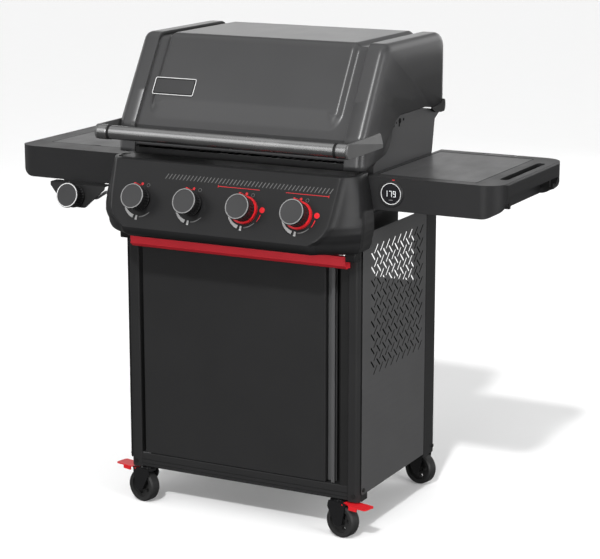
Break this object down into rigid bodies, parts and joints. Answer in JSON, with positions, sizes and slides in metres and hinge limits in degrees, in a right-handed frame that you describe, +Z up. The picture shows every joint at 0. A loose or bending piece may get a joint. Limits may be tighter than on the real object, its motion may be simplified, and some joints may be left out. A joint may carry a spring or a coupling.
{
  "type": "gas barbecue grill",
  "caption": "Wheeled gas barbecue grill with hinged hood, control knobs, side burner under a folding lid, side tables, cabinet door and braked swivel casters.",
  "frame": {"origin": "on the floor, under the middle of the grill's bounding box", "axes": "+X to the grill's right as the user faces it (grab-slot table side), +Y to the back, +Z up; the front faces -Y"},
  "size_m": [1.33, 0.6544, 1.195],
  "materials": {
    "lid_grey": "satin powder coat",
    "cabinet_grey": "satin powder coat",
    "side_grey": "satin powder coat",
    "panel_grey": "satin powder coat with fine print",
    "table_grey": "fine moulded grain",
    "table_plate": "satin",
    "dark_steel": "matt",
    "red_paint": "satin",
    "red_plastic": "gloss",
    "handle_steel": "brushed satin",
    "inner_steel": "brushed, heat-tinted",
    "firebox": "cast, dark",
    "grate_iron": "matt enamel",
    "knob_black": "satin",
    "arm_grey": "satin",
    "display_lens": "gloss",
    "badge_metal": "satin",
    "brass": "machined",
    "zinc": "zinc plated",
    "caster_black": "gloss",
    "caster_tyre": "matt",
    "module_black": "matt"
  },
  "bodies": {
    "frame": {"front_posts": "cabinet_grey", "rear_posts": "cabinet_grey", "side_panels": "side_grey", "back_panel": "cabinet_grey", "bottom_shelf": "cabinet_grey", "front_rail": "cabinet_grey", "upper_rails": "dark_steel", "red_cross_bar": "red_paint", "frame_bolts": "dark_steel", "door_hinge_brackets": "zinc", "cookbox": "firebox", "main_burners": "inner_steel", "heat_deflectors": "inner_steel", "cook_grates": "grate_iron", "warming_rack": "inner_steel", "gas_valves": "brass", "gas_manifold": "zinc", "side_gas_tube": "zinc", "igniter_module": "module_black", "control_panel": "panel_grey", "red_bezels": "red_plastic", "right_table_frame": "table_grey", "right_table_top": "table_plate", "left_table": "table_grey", "side_burner": "inner_steel", "side_burner_grate": "grate_iron", "side_burner_bracket": "cabinet_grey", "display": "display_lens", "tool_hooks": "dark_steel"},
    "lid": {"lid_shell": "lid_grey", "lid_left_end": "lid_grey", "lid_right_end": "lid_grey", "lid_handle_bar": "handle_steel", "lid_handle_arms": "arm_grey", "lid_badge": "badge_metal"},
    "door": {"door_panel": "cabinet_grey", "door_handle": "side_grey"},
    "burner_lid": {"side_burner_lid": "table_plate"},
    "grease_drawer": {"grease_tray": "inner_steel", "catch_pan": "inner_steel"},
    "stem_1": {"valve_stem_1": "zinc"},
    "knob_1": {"knob_1": "knob_black"},
    "stem_2": {"valve_stem_2": "zinc"},
    "knob_2": {"knob_2": "knob_black"},
    "stem_3": {"valve_stem_3": "zinc"},
    "knob_3": {"knob_3": "knob_black"},
    "stem_4": {"valve_stem_4": "zinc"},
    "knob_4": {"knob_4": "knob_black"},
    "side_stem": {"side_valve_stem": "zinc"},
    "side_knob": {"side_knob": "knob_black"},
    "fork_front_left": {"caster_fork_front_left": "caster_black"},
    "wheel_front_left": {"caster_wheel_front_left": "caster_tyre"},
    "pedal_left": {"brake_pedal_left": "red_plastic"},
    "fork_front_right": {"caster_fork_front_right": "caster_black"},
    "wheel_front_right": {"caster_wheel_front_right": "caster_tyre"},
    "pedal_right": {"brake_pedal_right": "red_plastic"},
    "fork_rear_left": {"caster_fork_rear_left": "caster_black"},
    "wheel_rear_left": {"caster_wheel_rear_left": "caster_tyre"},
    "fork_rear_right": {"caster_fork_rear_right": "caster_black"},
    "wheel_rear_right": {"caster_wheel_rear_right": "caster_tyre"}
  },
  "joints": [
    {"name": "lid_hinge", "type": "hinge", "parent": "frame", "child": "lid", "pos_m": [0, 0.2654, 1.006], "axis": [-1, 0, 0], "range_deg": [0, 85]},
    {"name": "door_hinge", "type": "hinge", "parent": "frame", "child": "door", "pos_m": [-0.276, -0.1616, 0.4], "axis": [0, 0, -1], "range_deg": [0, 110]},
    {"name": "burner_lid_hinge", "type": "hinge", "parent": "frame", "child": "burner_lid", "pos_m": [-0.477, 0.2374, 0.8957], "axis": [-1, 0, 0], "range_deg": [0, 95]},
    {"name": "grease_drawer_slide", "type": "slide", "parent": "frame", "child": "grease_drawer", "axis": [0, 1, 0], "range_m": [0, 0.3]},
    {"name": "knob_1_push", "type": "slide", "parent": "frame", "child": "stem_1", "axis": [0, 0.9225, -0.3859], "range_m": [0, 0.004], "stiffness_N_per_m": 600, "springref_m": -0.005},
    {"name": "knob_1_turn", "type": "hinge", "parent": "stem_1", "child": "knob_1", "pos_m": [-0.216, -0.27858, 0.814], "axis": [0, -0.9225, 0.3859], "range_deg": [0, 180]},
    {"name": "knob_2_push", "type": "slide", "parent": "frame", "child": "stem_2", "axis": [0, 0.9225, -0.3859], "range_m": [0, 0.004], "stiffness_N_per_m": 600, "springref_m": -0.005},
    {"name": "knob_2_turn", "type": "hinge", "parent": "stem_2", "child": "knob_2", "pos_m": [-0.072, -0.27858, 0.814], "axis": [0, -0.9225, 0.3859], "range_deg": [0, 180]},
    {"name": "knob_3_push", "type": "slide", "parent": "frame", "child": "stem_3", "axis": [0, 0.9225, -0.3859], "range_m": [0, 0.004], "stiffness_N_per_m": 600, "springref_m": -0.005},
    {"name": "knob_3_turn", "type": "hinge", "parent": "stem_3", "child": "knob_3", "pos_m": [0.072, -0.27858, 0.814], "axis": [0, -0.9225, 0.3859], "range_deg": [0, 180]},
    {"name": "knob_4_push", "type": "slide", "parent": "frame", "child": "stem_4", "axis": [0, 0.9225, -0.3859], "range_m": [0, 0.004], "stiffness_N_per_m": 600, "springref_m": -0.005},
    {"name": "knob_4_turn", "type": "hinge", "parent": "stem_4", "child": "knob_4", "pos_m": [0.216, -0.27858, 0.814], "axis": [0, -0.9225, 0.3859], "range_deg": [0, 180]},
    {"name": "side_knob_push", "type": "slide", "parent": "frame", "child": "side_stem", "axis": [0, 0.9659, -0.2588], "range_m": [0, 0.004], "stiffness_N_per_m": 600, "springref_m": -0.005},
    {"name": "side_knob_turn", "type": "hinge", "parent": "side_stem", "child": "side_knob", "pos_m": [-0.462, -0.1896, 0.7855], "axis": [0, -0.9659, 0.2588], "range_deg": [0, 180]},
    {"name": "swivel_front_left", "type": "hinge", "parent": "frame", "child": "fork_front_left", "pos_m": [-0.281, -0.1606, 0.092], "axis": [0, 0, 1], "continuous": true},
    {"name": "roll_front_left", "type": "hinge", "parent": "fork_front_left", "child": "wheel_front_left", "pos_m": [-0.29464, -0.15745, 0.042], "axis": [-0.225, -0.9744, 0], "continuous": true},
    {"name": "brake_left", "type": "hinge", "parent": "fork_front_left", "child": "pedal_left", "pos_m": [-0.30731, -0.15453, 0.0885], "axis": [-0.225, -0.9744, 0], "range_deg": [0, 8]},
    {"name": "swivel_front_right", "type": "hinge", "parent": "frame", "child": "fork_front_right", "pos_m": [0.264, -0.1606, 0.092], "axis": [0, 0, 1], "continuous": true},
    {"name": "roll_front_right", "type": "hinge", "parent": "fork_front_right", "child": "wheel_front_right", "pos_m": [0.27764, -0.16375, 0.042], "axis": [0.225, 0.9744, 0], "continuous": true},
    {"name": "brake_right", "type": "hinge", "parent": "fork_front_right", "child": "pedal_right", "pos_m": [0.29031, -0.16667, 0.0885], "axis": [0.225, 0.9744, 0], "range_deg": [0, 8]},
    {"name": "swivel_rear_left", "type": "hinge", "parent": "frame", "child": "fork_rear_left", "pos_m": [-0.266, 0.2994, 0.092], "axis": [0, 0, 1], "continuous": true},
    {"name": "roll_rear_left", "type": "hinge", "parent": "fork_rear_left", "child": "wheel_rear_left", "pos_m": [-0.27964, 0.30255, 0.042], "axis": [-0.225, -0.9744, 0], "continuous": true},
    {"name": "swivel_rear_right", "type": "hinge", "parent": "frame", "child": "fork_rear_right", "pos_m": [0.266, 0.2994, 0.092], "axis": [0, 0, 1], "continuous": true},
    {"name": "roll_rear_right", "type": "hinge", "parent": "fork_rear_right", "child": "wheel_rear_right", "pos_m": [0.27964, 0.29625, 0.042], "axis": [0.225, 0.9744, 0], "continuous": true}
  ]
}
